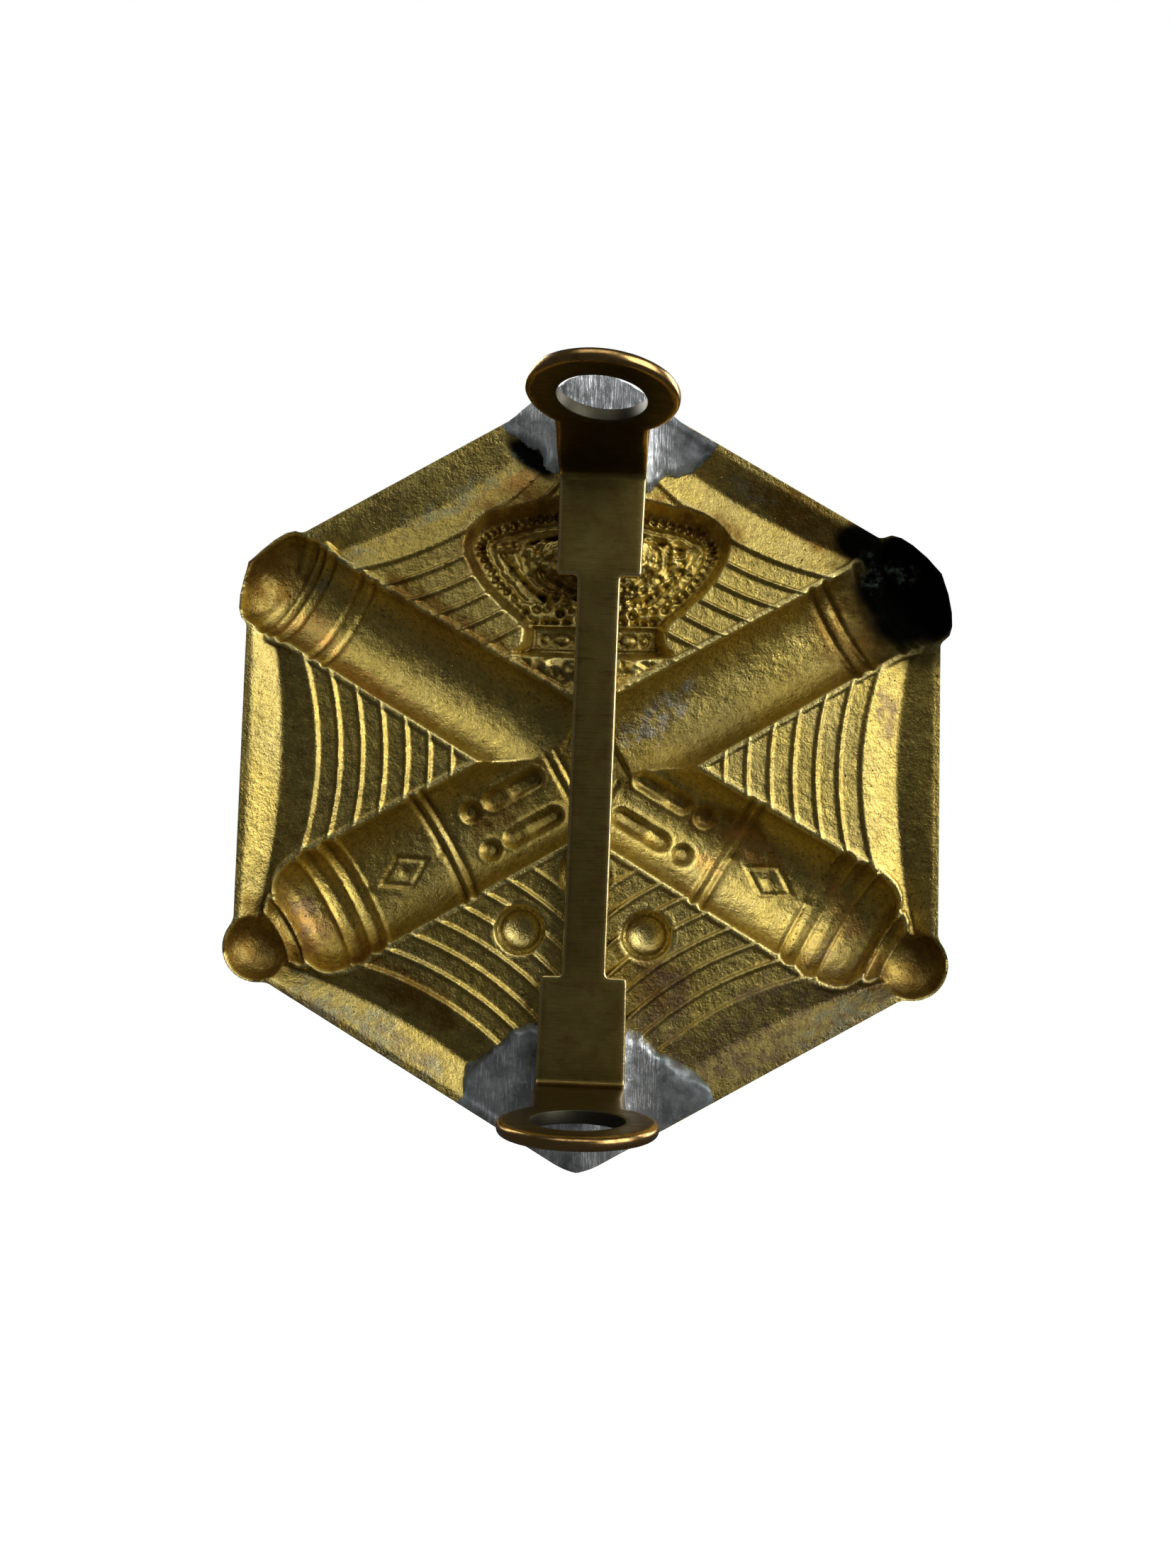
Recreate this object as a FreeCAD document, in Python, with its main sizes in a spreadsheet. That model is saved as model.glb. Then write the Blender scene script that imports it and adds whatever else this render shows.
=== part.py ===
import FreeCAD, Part

import math
import os
from FreeCAD import Placement, Rotation, Vector

# Die-struck brass cap badge with a soldered fixing strap. All sizes are in millimetres.
#
# The badge stands as it is worn, crown up. X runs to the right as seen from the back, Z runs
# up, and +Y runs from the hollow back to the raised front. The origin is the centre of the
# hexagonal rim, in the plane that the rim's back edge lies in, so the struck sheet lies at
# y >= 0 and the strap with its two loops lies at y <= 0.

doc = FreeCAD.newDocument("cap_badge")

SIZES = [
    # Struck sheet and its ribbed star field
    ("across_flats", 45.0, "hexagon, flat to flat"),
    ("wall", 0.45, "thickness of the struck sheet"),
    ("turned_edge", 0.35, "height of the rim's upright edge"),
    ("valley_middle", 20.0, "centre to the valley inside the rim, at mid side"),
    ("valley_depth", 1.05, "depth of that valley"),
    ("valley_bow", 43.0, "radius of its inward bow"),
    ("rib_middle", 17.65, "centre to the outermost rib, at mid side"),
    ("rib_bow", 21.5, "radius of each rib's inward bow"),
    ("rib_pitch", 1.47, "distance from rib to rib"),
    ("rib_count", 8, "ribs from the rim to the middle"),
    ("rib_depth", 0.45, "depth of each rib's crest"),
    ("rib_height", 0.28, "height of each rib"),
    ("rib_riser", 0.12, "width of the steep side of each rib"),
    # Cannon, stations along the bore counted from the crossing, breech side negative
    ("cannon_angle", 60.0, "angle of each cannon from upright"),
    ("over_axis", -0.5, "y of the axis of the cannon that lies in front"),
    ("under_axis", -1.0, "y of the axis of the cannon that lies behind"),
    ("knob_place", -23.95, "middle of the breech knob"),
    ("knob_radius", 2.1, "breech knob"),
    ("neck_end", -21.8, "end of the knob's neck"),
    ("neck_radius", 2.3, "knob's neck"),
    ("breech_end", -19.4, "end of the rounded breech"),
    ("breech_radius", 3.0, "breech beside the neck"),
    ("base_ring_end", -16.7, "end of the base ring"),
    ("base_ring_radius", 4.3, "base ring"),
    ("first_end", -10.95, "end of the first reinforce"),
    ("first_radius", 4.1, "first reinforce"),
    ("band_end", -9.9, "end of the band between the reinforces"),
    ("band_radius", 4.3, "band between the reinforces"),
    ("second_end", -1.35, "end of the second reinforce"),
    ("second_radius", 3.95, "second reinforce"),
    ("chase_end", 18.3, "end of the chase"),
    ("chase_radius", 3.4, "chase"),
    ("astragal_end", 19.3, "end of the astragal ring"),
    ("astragal_radius", 3.6, "astragal ring"),
    ("muzzle_neck_end", 21.3, "end of the muzzle's neck"),
    ("muzzle_neck_radius", 3.4, "muzzle's neck"),
    ("swell_end", 23.3, "end of the muzzle swell"),
    ("swell_radius", 3.8, "muzzle swell"),
    ("face_end", 25.2, "end of the sloping muzzle face"),
    ("face_radius", 1.8, "muzzle face at its end"),
    # Crown
    ("crown_place", 0.2, "x of the crown's middle"),
    ("crown_floor", 1.9, "depth of the crown"),
    ("crown_base", 7.1, "z of the crown's lower edge"),
    ("crown_band_top", 9.8, "z of the top of its head band"),
    ("crown_band_width", 10.2, "width of the head band"),
    ("lobe_height", 13.9, "z of the middle of its side lobes"),
    ("lobe_spread", 5.0, "each side lobe's middle from the crown's middle"),
    ("lobe_radius", 3.6, "side lobe"),
    ("cap_height", 13.0, "z of the middle of its top"),
    ("cap_radius", 5.3, "rounded top"),
    ("crown_waist", 0.4, "how far its body draws in above the head band"),
    ("cheek_width", 8.49, "crown's middle to its body's widest corner"),
    ("cheek_height", 13.18, "z of that corner"),
    # Cannonballs
    ("ball_radius", 1.6, "cannonball"),
    ("ball_axis", 0.5, "y of each ball's middle"),
    ("ball_spread", 3.95, "side balls from the middle"),
    ("ball_row", -10.45, "z of the side balls"),
    ("ball_apex", -6.8, "z of the middle ball"),
    # Fixing strap
    ("strap_place", 0.36, "x of the strap's middle at the origin's height"),
    ("strap_skew", 0.7, "angle that the strap leans, seen from the back"),
    ("strap_gauge", 0.8, "thickness of the strap"),
    ("waist_width", 2.75, "width of its narrow part"),
    ("pad_width", 5.45, "width of its ends"),
    ("upper_shoulder", 12.35, "z where the upper end widens"),
    ("lower_shoulder", -13.35, "z where the lower end widens"),
    ("upper_bend", 18.97, "z where the upper ear's inner face leaves the strap"),
    ("lower_bend", -20.16, "z where the lower ear's inner face leaves the strap"),
    ("bend_radius", 0.5, "inside radius of each bend"),
    ("upper_splay", 9.6, "upper ear's lean away from square"),
    ("lower_splay", 4.3, "lower ear's lean away from square"),
    ("ear_height", 10.1, "bend to the middle of the loop's hole"),
    ("loop_radius", 4.6, "outside radius of the loop"),
    ("hole_radius", 2.7, "radius of the loop's hole"),
    ("upper_loop_shift", 0.2, "upper loop's middle from its ear's middle, across"),
    ("lower_loop_shift", 0.38, "lower loop's middle from its ear's middle, across"),
    # Solder
    ("upper_pool_place", 1.0, "x of the upper pool's middle"),
    ("upper_pool_height", 26.2, "z of the upper pool's middle"),
    ("upper_pool_radius", 8.0, "upper pool"),
    ("lower_pool_place", 0.6, "x of the lower pool's middle"),
    ("lower_pool_height", -26.0, "z of the lower pool's middle"),
    ("lower_pool_radius", 9.4, "lower pool"),
    # Working sizes
    ("cutter_reach", 12.0, "how far cutting shapes reach past the badge"),
    ("cutter_start", 1.0, "how far behind the rim's plane the hollow's shapes start"),
]

sheet = doc.addObject("Spreadsheet::Sheet", "Sizes")
for row, (alias, value, meaning) in enumerate(SIZES, 1):
    sheet.set(f"A{row}", meaning)
    sheet.set(f"B{row}", str(value))
    sheet.setAlias(f"B{row}", alias)
doc.recompute()

ALONG_X = Rotation(Vector(1, 1, 1), 120)  # turns a cylinder's axis to X and its start to Y
ALONG_Y = Rotation(Vector(1, 0, 0), -90)  # turns a cylinder's axis to Y


def size(alias):
    """The plain number in the sheet's cell of this name."""
    return float(sheet.get(alias))


def bound(kind, name, formulas, turn=None):
    """A primitive or boolean whose properties follow formulas of the sheet's cells."""
    made = doc.addObject(kind, name)
    if turn is not None:
        made.Placement = Placement(Vector(), turn)
    for path, formula in formulas.items():
        made.setExpression(path, formula)
    return made


def joined(name, shapes):
    made = doc.addObject("Part::MultiFuse", name)
    made.Shapes = shapes
    return made


def without(name, base, tool):
    made = doc.addObject("Part::Cut", name)
    made.Base = base
    made.Tool = tool
    return made


# Star field


def at_angle(distance, degrees, depth):
    """A point at this distance and angle from the centre, in the plane at this depth."""
    angle = math.radians(degrees)
    return Vector(distance * math.cos(angle), depth, distance * math.sin(angle))


def hexagon(flat_distance, depth):
    """A regular hexagon with upright sides left and right and a corner at the top."""
    corner = flat_distance / math.cos(math.radians(30))
    corners = [at_angle(corner, 60 * side - 30, depth) for side in range(7)]
    return Part.makePolygon(corners)


def bowed_hexagon(middle, bow, depth):
    """Six arcs bowed towards the centre, each this far from it at its middle."""
    reach = middle + bow
    corner = reach * math.cos(math.radians(30)) - math.sqrt(bow**2 - (reach / 2) ** 2)
    arcs = []
    for side in range(6):
        start = at_angle(corner, 60 * side - 30, depth)
        middle_point = at_angle(middle, 60 * side, depth)
        end = at_angle(corner, 60 * side + 30, depth)
        arcs.append(Part.Arc(start, middle_point, end).toShape())
    return Part.Wire(arcs)


def rib_sections(lower):
    """The crest and foot of each rib from the rim inwards, moved forward by lower."""
    sections = []
    for rib in range(int(size("rib_count"))):
        crest = size("rib_middle") - rib * size("rib_pitch")
        crest_depth = size("rib_depth") + lower
        sections.append(bowed_hexagon(crest, size("rib_bow"), crest_depth))
        foot = crest - size("rib_riser")
        foot_depth = crest_depth + size("rib_height")
        sections.append(bowed_hexagon(foot, size("rib_bow"), foot_depth))
    return sections


def field(name, flat_distance, start_depth, edge_depth, lower):
    """Solid from start_depth to the ribbed field, whose surface is moved forward by lower."""
    sections = [hexagon(flat_distance, start_depth), hexagon(flat_distance, edge_depth)]
    valley_depth = size("valley_depth") + lower
    sections.append(bowed_hexagon(size("valley_middle"), size("valley_bow"), valley_depth))
    sections.extend(rib_sections(lower))
    made = doc.addObject("Part::Feature", name)
    made.Shape = Part.makeLoft(sections, True, True)
    return made


# Cannon


def stretch(name, start, end, radius, extra):
    """Cylinder along a cannon between two stations, its radius enlarged by extra."""
    formulas = {
        "Radius": f"Sizes.{radius} + {extra}",
        "Height": f"Sizes.{end} - Sizes.{start}",
        "Placement.Base.z": f"Sizes.{start}",
    }
    return bound("Part::Cylinder", name, formulas)


def taper(name, start, end, radii, extra, end_extra="0"):
    """Cone along a cannon between two stations, enlarged and lengthened by the extras."""
    formulas = {
        "Radius1": f"Sizes.{radii[0]} + {extra}",
        "Radius2": f"Sizes.{radii[1]} + {extra}",
        "Height": f"Sizes.{end} - Sizes.{start} + {end_extra}",
        "Placement.Base.z": f"Sizes.{start}",
    }
    return bound("Part::Cone", name, formulas)


def cannon(name, axis, side, extra):
    """A whole round cannon, breech down, on side 1 or -1 of upright, enlarged by extra."""
    knob = {"Radius": f"Sizes.knob_radius + {extra}", "Placement.Base.z": "Sizes.knob_place"}
    breech_radii = ("breech_radius", "base_ring_radius")
    swell_radii = ("muzzle_neck_radius", "swell_radius")
    face_radii = ("swell_radius", "face_radius")
    pieces = [
        bound("Part::Sphere", name + "_knob", knob),
        stretch(name + "_neck", "knob_place", "neck_end", "neck_radius", extra),
        taper(name + "_breech", "neck_end", "breech_end", breech_radii, extra),
        stretch(name + "_base_ring", "breech_end", "base_ring_end", "base_ring_radius", extra),
        stretch(name + "_first", "base_ring_end", "first_end", "first_radius", extra),
        stretch(name + "_band", "first_end", "band_end", "band_radius", extra),
        stretch(name + "_second", "band_end", "second_end", "second_radius", extra),
        stretch(name + "_chase", "second_end", "chase_end", "chase_radius", extra),
        stretch(name + "_astragal", "chase_end", "astragal_end", "astragal_radius", extra),
        stretch(name + "_muzzle_neck", "astragal_end", "muzzle_neck_end", "muzzle_neck_radius", extra),
        taper(name + "_swell", "muzzle_neck_end", "swell_end", swell_radii, extra),
        taper(name + "_face", "swell_end", "face_end", face_radii, extra, extra),
    ]
    made = joined(name, pieces)
    made.Placement = Placement(Vector(), Rotation(Vector(0, side, 0), size("cannon_angle")))
    made.setExpression("Placement.Base.y", f"Sizes.{axis}")
    return made


# Crown and cannonballs


def disc(name, radius, across, up, floor):
    """Cylinder along Y from behind the rim's plane to a floor depth."""
    formulas = {
        "Radius": radius,
        "Height": f"{floor} + Sizes.cutter_start",
        "Placement.Base.x": across,
        "Placement.Base.y": "0 - Sizes.cutter_start",
        "Placement.Base.z": up,
    }
    return bound("Part::Cylinder", name, formulas, ALONG_Y)


def crown(name, extra):
    """Head band, two side lobes and a rounded top, with a body between, enlarged by extra."""
    floor = f"Sizes.crown_floor + {extra}"
    lobe = f"Sizes.lobe_radius + {extra}"
    cap = f"Sizes.cap_radius + {extra}"
    left = "Sizes.crown_place - Sizes.lobe_spread"
    right = "Sizes.crown_place + Sizes.lobe_spread"
    band = {
        "Length": f"Sizes.crown_band_width + 2 * {extra}",
        "Width": f"{floor} + Sizes.cutter_start",
        "Height": f"Sizes.crown_band_top - Sizes.crown_base + 2 * {extra}",
        "Placement.Base.x": f"Sizes.crown_place - Sizes.crown_band_width / 2 - {extra}",
        "Placement.Base.y": "0 - Sizes.cutter_start",
        "Placement.Base.z": f"Sizes.crown_base - {extra}",
    }
    narrow = "(Sizes.crown_band_width / 2 - Sizes.crown_waist)"
    body = {
        "Xmin": f"0 - {narrow} - {extra}",
        "Xmax": f"{narrow} + {extra}",
        "X2min": f"0 - Sizes.cheek_width - {extra}",
        "X2max": f"Sizes.cheek_width + {extra}",
        "Ymin": "0",
        "Ymax": "Sizes.cheek_height - Sizes.crown_band_top",
        "Zmin": "0",
        "Zmax": f"{floor} + Sizes.cutter_start",
        "Z2min": "0",
        "Z2max": f"{floor} + Sizes.cutter_start",
        "Placement.Base.x": "Sizes.crown_place",
        "Placement.Base.y": floor,
        "Placement.Base.z": "Sizes.crown_band_top",
    }
    pieces = [
        bound("Part::Box", name + "_band", band),
        bound("Part::Wedge", name + "_body", body, Rotation(Vector(1, 0, 0), 90)),
        disc(name + "_left_lobe", lobe, left, "Sizes.lobe_height", floor),
        disc(name + "_right_lobe", lobe, right, "Sizes.lobe_height", floor),
        disc(name + "_cap", cap, "Sizes.crown_place", "Sizes.cap_height", floor),
    ]
    return joined(name, pieces)


def cannonball(name, across, up, extra):
    formulas = {
        "Radius": f"Sizes.ball_radius + {extra}",
        "Placement.Base.x": across,
        "Placement.Base.y": "Sizes.ball_axis",
        "Placement.Base.z": up,
    }
    return bound("Part::Sphere", name, formulas)


def relief(name, ground, extra):
    """The whole struck relief as one solid, from the ground solid and enlarged devices."""
    devices = [
        ground,
        cannon(name + "_over", "over_axis", 1, extra),
        cannon(name + "_under", "under_axis", -1, extra),
        crown(name + "_crown", extra),
        cannonball(name + "_left_ball", "0 - Sizes.ball_spread", "Sizes.ball_row", extra),
        cannonball(name + "_right_ball", "Sizes.ball_spread", "Sizes.ball_row", extra),
        cannonball(name + "_middle_ball", "0", "Sizes.ball_apex", extra),
    ]
    return joined(name, devices)


def block_behind_rim(name):
    """Everything behind the rim's plane."""
    formulas = {
        "Length": "Sizes.across_flats + 2 * Sizes.cutter_reach",
        "Width": "Sizes.cutter_reach",
        "Height": "Sizes.across_flats + 2 * Sizes.cutter_reach",
        "Placement.Base.x": "0 - Sizes.across_flats / 2 - Sizes.cutter_reach",
        "Placement.Base.y": "0 - Sizes.cutter_reach",
        "Placement.Base.z": "0 - Sizes.across_flats / 2 - Sizes.cutter_reach",
    }
    return bound("Part::Box", name, formulas)


def badge_shell(hollow_ground):
    """One sheet of even thickness: the enlarged relief less the relief itself."""
    half_flats = size("across_flats") / 2
    front_ground = field("front_ground", half_flats, 0, size("turned_edge"), size("wall"))
    front = relief("front", front_ground, "Sizes.wall")
    front_only = without("front_only", front, block_behind_rim("behind_rim"))
    hollow = relief("hollow", hollow_ground, "0")
    return without("badge_shell", front_only, hollow)


# Fixing strap


def flat_run(name, width, start, end):
    """Flat length of the strap between two heights, against the rim's plane."""
    formulas = {
        "Length": f"Sizes.{width}",
        "Width": "Sizes.strap_gauge",
        "Height": f"{end} - {start}",
        "Placement.Base.x": f"0 - Sizes.{width} / 2",
        "Placement.Base.y": "0 - Sizes.strap_gauge",
        "Placement.Base.z": start,
    }
    return bound("Part::Box", name, formulas)


def bend(name, which, side):
    """Quarter ring between the strap and an ear, side 1 for the upper ear and -1 for the lower."""
    turn = 90 - size(f"{which}_splay")
    tangent = f"Sizes.bend_radius * tan((90 - Sizes.{which}_splay) / 2 * 1deg)"
    start = 0 if side > 0 else -turn
    rotation = Rotation(Vector(1, 0, 0), start).multiply(ALONG_X)
    place = {
        "Placement.Base.x": "0 - Sizes.pad_width / 2",
        "Placement.Base.y": "0 - Sizes.strap_gauge - Sizes.bend_radius",
        "Placement.Base.z": f"Sizes.{which}_bend - ({side}) * {tangent}",
    }
    outside = {
        "Radius": "Sizes.bend_radius + Sizes.strap_gauge",
        "Height": "Sizes.pad_width",
        "Angle": f"90 - Sizes.{which}_splay",
    }
    inside = {"Radius": "Sizes.bend_radius", "Height": "Sizes.pad_width"}
    whole = bound("Part::Cylinder", name + "_outside", outside | place, rotation)
    hollow = bound("Part::Cylinder", name + "_inside", inside | place, rotation)
    return without(name, whole, hollow)


def ear(name, which, side):
    """Neck and ring loop, made upright on the bend line and leaned back from the strap."""
    tangent = f"Sizes.bend_radius * tan((90 - Sizes.{which}_splay) / 2 * 1deg)"
    thickness_start = "0" if side > 0 else "0 - Sizes.strap_gauge"
    neck = {
        "Length": "Sizes.pad_width",
        "Width": "Sizes.strap_gauge",
        "Height": f"Sizes.ear_height - {tangent}",
        "Placement.Base.x": "0 - Sizes.pad_width / 2",
        "Placement.Base.y": thickness_start,
        "Placement.Base.z": tangent,
    }
    ring = {
        "Radius": "Sizes.loop_radius",
        "Height": "Sizes.strap_gauge",
        "Placement.Base.x": f"Sizes.{which}_loop_shift",
        "Placement.Base.y": thickness_start,
        "Placement.Base.z": "Sizes.ear_height",
    }
    hole = ring | {
        "Radius": "Sizes.hole_radius",
        "Height": "3 * Sizes.strap_gauge",
        "Placement.Base.y": f"{thickness_start} - Sizes.strap_gauge",
    }
    plate = joined(name + "_plate", [
        bound("Part::Box", name + "_neck", neck),
        bound("Part::Cylinder", name + "_ring", ring, ALONG_Y),
    ])
    made = without(name, plate, bound("Part::Cylinder", name + "_hole", hole, ALONG_Y))
    lean = 90 - side * size(f"{which}_splay")
    made.Placement = Placement(Vector(), Rotation(Vector(1, 0, 0), lean))
    made.setExpression("Placement.Base.y", "0 - Sizes.strap_gauge")
    made.setExpression("Placement.Base.z", f"Sizes.{which}_bend")
    return made


def fixing_strap():
    """Flat strap with a narrow waist, two bends and two ears that end in ring loops."""
    upper_tangent = "Sizes.bend_radius * tan((90 - Sizes.upper_splay) / 2 * 1deg)"
    lower_tangent = "Sizes.bend_radius * tan((90 - Sizes.lower_splay) / 2 * 1deg)"
    upper_start = f"Sizes.upper_bend - {upper_tangent}"
    lower_start = f"Sizes.lower_bend + {lower_tangent}"
    made = joined("fixing_strap", [
        flat_run("waist", "waist_width", "Sizes.lower_shoulder", "Sizes.upper_shoulder"),
        flat_run("upper_pad", "pad_width", "Sizes.upper_shoulder", upper_start),
        flat_run("lower_pad", "pad_width", f"({lower_start})", "Sizes.lower_shoulder"),
        bend("upper_elbow", "upper", 1),
        bend("lower_elbow", "lower", -1),
        ear("upper_ear", "upper", 1),
        ear("lower_ear", "lower", -1),
    ])
    made.Refine = True
    made.Placement = Placement(Vector(), Rotation(Vector(0, 1, 0), size("strap_skew")))
    made.setExpression("Placement.Base.x", "Sizes.strap_place")
    return made


# Solder


def solder(name, which, hollow_ground):
    """Round pool that fills the corner of the hollow, level with the strap's underside."""
    formulas = {
        "Radius": f"Sizes.{which}_pool_radius",
        "Height": "Sizes.cutter_reach",
        "Placement.Base.x": f"Sizes.{which}_pool_place",
        "Placement.Base.z": f"Sizes.{which}_pool_height",
    }
    made = doc.addObject("Part::Common", name)
    made.Base = bound("Part::Cylinder", name + "_pool", formulas, ALONG_Y)
    made.Tool = hollow_ground
    return made


def checked(parts):
    """Stops if any object failed or any sub-part is not one valid solid."""
    for thing in doc.Objects:
        if any(word in thing.State for word in ("Invalid", "Error")):
            raise RuntimeError(f"{thing.Name} failed: {thing.State}")
    for part in parts:
        shape = part.Shape
        if shape.isNull() or not shape.isValid() or len(shape.Solids) != 1:
            raise RuntimeError(f"{part.Label} is not one valid solid: {len(shape.Solids)} solids")
        print(part.Label, round(shape.Volume, 2), "mm3", shape.optimalBoundingBox())


def main():
    inside_flats = size("across_flats") / 2 - size("turned_edge")
    hollow_ground = field("hollow_ground", inside_flats, -size("cutter_start"), 0, 0)
    parts = [
        badge_shell(hollow_ground),
        fixing_strap(),
        solder("solder_top", "upper", hollow_ground),
        solder("solder_bottom", "lower", hollow_ground),
    ]
    doc.recompute()
    checked(parts)
    os.makedirs("parts", exist_ok=True)
    for part in parts:
        part.Shape.exportStep(f"parts/{part.Label}.step")


main()
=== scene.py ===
import math

import bmesh
import bpy
import numpy as np
from mathutils import Matrix, Vector, geometry


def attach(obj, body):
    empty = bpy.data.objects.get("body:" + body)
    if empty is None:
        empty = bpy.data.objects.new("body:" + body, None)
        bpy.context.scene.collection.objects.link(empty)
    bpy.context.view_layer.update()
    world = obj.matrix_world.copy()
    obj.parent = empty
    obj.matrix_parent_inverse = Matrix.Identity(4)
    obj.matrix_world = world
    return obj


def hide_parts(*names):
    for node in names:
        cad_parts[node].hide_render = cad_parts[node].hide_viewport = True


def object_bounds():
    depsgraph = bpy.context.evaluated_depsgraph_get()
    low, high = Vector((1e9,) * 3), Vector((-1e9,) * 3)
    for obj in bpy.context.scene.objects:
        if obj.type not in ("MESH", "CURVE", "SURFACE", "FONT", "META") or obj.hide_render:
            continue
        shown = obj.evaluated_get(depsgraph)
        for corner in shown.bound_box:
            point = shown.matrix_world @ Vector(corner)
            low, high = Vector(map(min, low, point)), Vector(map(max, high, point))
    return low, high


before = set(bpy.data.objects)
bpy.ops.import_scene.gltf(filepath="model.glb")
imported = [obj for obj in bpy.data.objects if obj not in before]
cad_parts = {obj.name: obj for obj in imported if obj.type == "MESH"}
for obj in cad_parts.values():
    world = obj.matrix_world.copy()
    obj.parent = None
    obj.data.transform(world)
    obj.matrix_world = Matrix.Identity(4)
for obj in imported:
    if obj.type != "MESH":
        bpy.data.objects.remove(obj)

# Back view of a die-struck brass cap badge. Lengths are in millimetres until the last step of
# each piece, which turns them into metres. X runs right, Z up and Y from the hollow back to
# the raised front; the rim's back edge lies at y = 0. "Depth" is distance forward of it.

MM = 0.001
CAD_LOW, CAD_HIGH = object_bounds()

# Struck sheet
HALF_FLATS = 22.5
WALL, LEAST_WALL = 0.42, 0.16
RIM_LAND = 0.3
RIM_GROOVE = 0.06
TIP_REACH = 25.8  # the tips are rounded off here
VALLEY_MIDDLE, VALLEY_DEPTH, VALLEY_BOW = 20.0, 1.05, 43.0
RIB_MIDDLE, RIB_DEPTH, RIB_BOW, RIB_PITCH = 17.65, 0.45, 21.5, 1.47
RIB_HEIGHT = 0.26
RIB_LAST = 8.6  # distance from the centre inside which the die has no ribs
LIP = 0.42  # flat lip round each cannon, where the ribs stop

# Cannon. Each station is a place along the bore from the crossing and the half width there.
CANNON_ANGLE = math.radians(30)
CANNON_STATIONS = [
    (-23.0, 1.2), (-22.7, 1.95), (-22.1, 2.4), (-21.9, 2.25), (-21.75, 2.6), (-21.4, 3.25),
    (-20.8, 3.7), (-20.0, 3.92), (-19.3, 4.0), (-16.8, 3.98), (-16.6, 3.9), (-11.3, 3.86),
    (-9.8, 3.78), (-2.6, 3.72), (2.15, 3.72), (2.4, 3.38), (17.8, 3.2), (21.2, 3.22),
    (22.3, 3.5), (23.0, 3.62), (23.8, 3.72), (24.4, 3.6), (24.8, 3.2), (25.2, 2.45), (25.6, 1.3),
    (25.8, 0.3), (25.81, 0.0),
]
MUZZLE_TRIM = {1: 0.0, -1: 0.4}  # the gun struck underneath has the smaller muzzle
MUZZLE_START, MUZZLE_ROUND = 22.4, 3.6
TRIM_START = 22.7
HANDLE_START, HANDLE_END, HANDLE_OFFSETS = -7.2, -2.7, (-1.5, 1.35)
HANDLE_BUMP, LOZENGE_PLACE = -8.15, -13.9
# Rings and grooves round each cannon: place, height and half width.
CANNON_RINGS = [
    (-22.3, 0.12, 0.18), (-21.88, -0.22, 0.12), (-19.42, -0.2, 0.13), (-18.7, 0.16, 0.34),
    (-17.9, -0.16, 0.14), (-17.3, 0.14, 0.26), (-16.68, -0.16, 0.14), (-10.98, 0.2, 0.2),
    (-10.58, -0.06, 0.12), (-10.2, 0.2, 0.2), (-2.0, 0.2, 0.19), (-1.3, 0.2, 0.19),
    (18.3, 0.2, 0.2), (19.3, 0.2, 0.2), (21.5, 0.16, 0.2), (22.05, -0.14, 0.13),
    (22.7, -0.14, 0.13), (23.05, 0.1, 0.16),
]
KNOB_PLACE, KNOB_RADIUS = -24.1, 2.12
EDGE = 0.16  # flat edge of the sheet round the cannons' ends
OVER_FULLNESS, UNDER_FULLNESS = 0.87, 0.78

# Crown, half of its outline from the lower corner to the top, about its middle
CROWN_PLACE = 0.2
CROWN_OUTLINE = [
    (4.65, 7.2), (4.75, 8.2), (4.8, 9.2), (5.9, 10.2), (7.5, 11.8), (8.5, 13.4), (8.8, 14.7),
    (8.35, 15.8), (7.2, 16.75), (5.2, 17.35), (2.6, 17.9), (0.0, 18.1),
]
CROWN_FLOOR = 1.75
HEAD_LOW, HEAD_HIGH, JEWEL_ROW = 7.72, 9.4, 8.55
ARCH_MIDDLE, ARCH_STRETCH = 14.0, 1.72

# Cannonballs: two at the sides of the strap and one behind it
BALL_PLACES = [(-4.05, -10.53), (4.08, -10.68), (0.0, -6.9)]
BALL_RADIUS, BOWL_RADIUS = 1.78, 1.34

# Fixing strap
GAUGE = 0.8
STRAP_PLACE, STRAP_SKEW = 0.36, math.radians(0.7)
WAIST_HALF, PAD_HALF = 1.375, 2.725
UPPER_SHOULDER, LOWER_SHOULDER = 12.35, -13.35
UPPER_BEND, LOWER_BEND = 18.97, -20.16
UPPER_SPLAY, LOWER_SPLAY = math.radians(9.6), math.radians(4.3)
BEND_RADIUS, SHOULDER_ROUND = 0.5, 0.3
EAR_HEIGHT, LOOP_RADIUS, HOLE_RADIUS = 10.1, 4.6, 2.7

EAR_TWIST = {"upper": math.radians(-5.0), "lower": math.radians(-1.2)}
EAR_SHIFT = {"upper": 0.2, "lower": 0.38}
TWIST_LENGTH = 6

# Solder pools, as outlines about the badge's middle; the rim and the tip cut them off
UPPER_POOL = [(-7.2, 24.0), (-6.1, 22.2), (-5.0, 21.4), (-3.6, 20.6), (-2.6, 19.4), (0.4, 18.6),
              (3.5, 18.3), (4.7, 19.1), (6.3, 19.6), (7.6, 20.6), (8.2, 22.0), (8.0, 25.0),
              (0.5, 28.0)]
LOWER_POOL = [(-8.4, -23.0), (-7.4, -21.4), (-7.2, -19.2), (-5.6, -18.2), (-4.2, -16.9),
              (-2.6, -16.4), (0.4, -16.6), (3.2, -16.6), (5.0, -18.0), (6.8, -18.9),
              (8.1, -19.9), (8.6, -21.4), (8.8, -24.0), (0.5, -28.0)]
POOL_REACH, UPPER_POOL_START, LOWER_POOL_START = 10, 16, -15.6
TIP_START = 22.3  # beyond this the upper solder runs over the rim and is filed bright

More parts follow.
